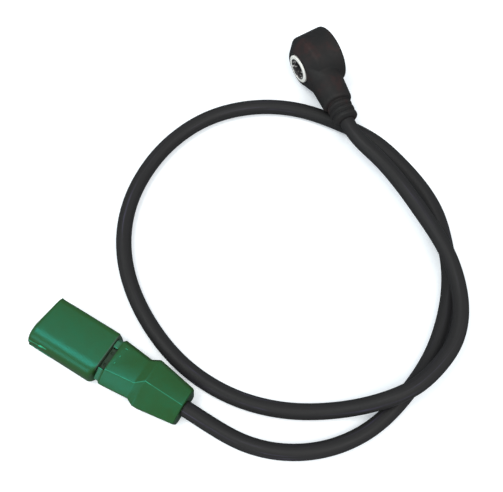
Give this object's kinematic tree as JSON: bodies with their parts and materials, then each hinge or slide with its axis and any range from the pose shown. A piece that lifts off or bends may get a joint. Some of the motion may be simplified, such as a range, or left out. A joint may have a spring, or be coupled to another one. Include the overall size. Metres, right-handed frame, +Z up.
{
  "type": "engine knock sensor",
  "caption": "Ring-shaped knock sensor head with a bolt hole, a ribbed side neck and a long round lead to a flat plug.",
  "frame": {"origin": "on the table, under the middle of the box round the head, its neck and all that is inside them", "axes": "+X from the head along the neck towards the lead, +Y along the bolt hole from the bolt face to the contact face, +Z up from the table"},
  "size_m": [0.1635, 0.176, 0.0254],
  "materials": {
    "bright_steel": "turned and zinc-bright",
    "brass": "plain machined",
    "spring_steel": "dark hardened",
    "grey_ceramic": "unglazed fired ceramic",
    "amber_film": "translucent film",
    "black_moulding": "satin moulded",
    "black_sheath": "satin extruded",
    "green_moulding": "satin moulded",
    "dark_insert": "matte moulded",
    "tinned_copper": "tin plated",
    "seal_rubber": "soft silicone",
    "white_wire": "extruded",
    "red_wire": "extruded",
    "copper_braid": "stranded"
  },
  "bodies": {
    "root": {"core_sleeve": "bright_steel", "insulating_tube": "amber_film", "lower_insulator": "amber_film", "lower_contact": "brass", "piezo_ring": "grey_ceramic", "upper_contact": "brass", "upper_insulator": "amber_film", "seismic_mass": "brass", "disc_spring": "spring_steel", "clamp_nut": "bright_steel", "head_housing": "black_moulding", "signal_core": "white_wire", "ground_core": "red_wire", "lead": "black_sheath", "connector_hood": "green_moulding", "rear_shell": "green_moulding", "pin_retainer": "dark_insert", "pin_1": "tinned_copper", "pin_2": "tinned_copper", "pin_3": "tinned_copper", "wire_seal": "seal_rubber", "plug_signal_core": "white_wire", "plug_screen_drain": "copper_braid", "plug_ground_core": "red_wire"}
  },
  "joints": []
}
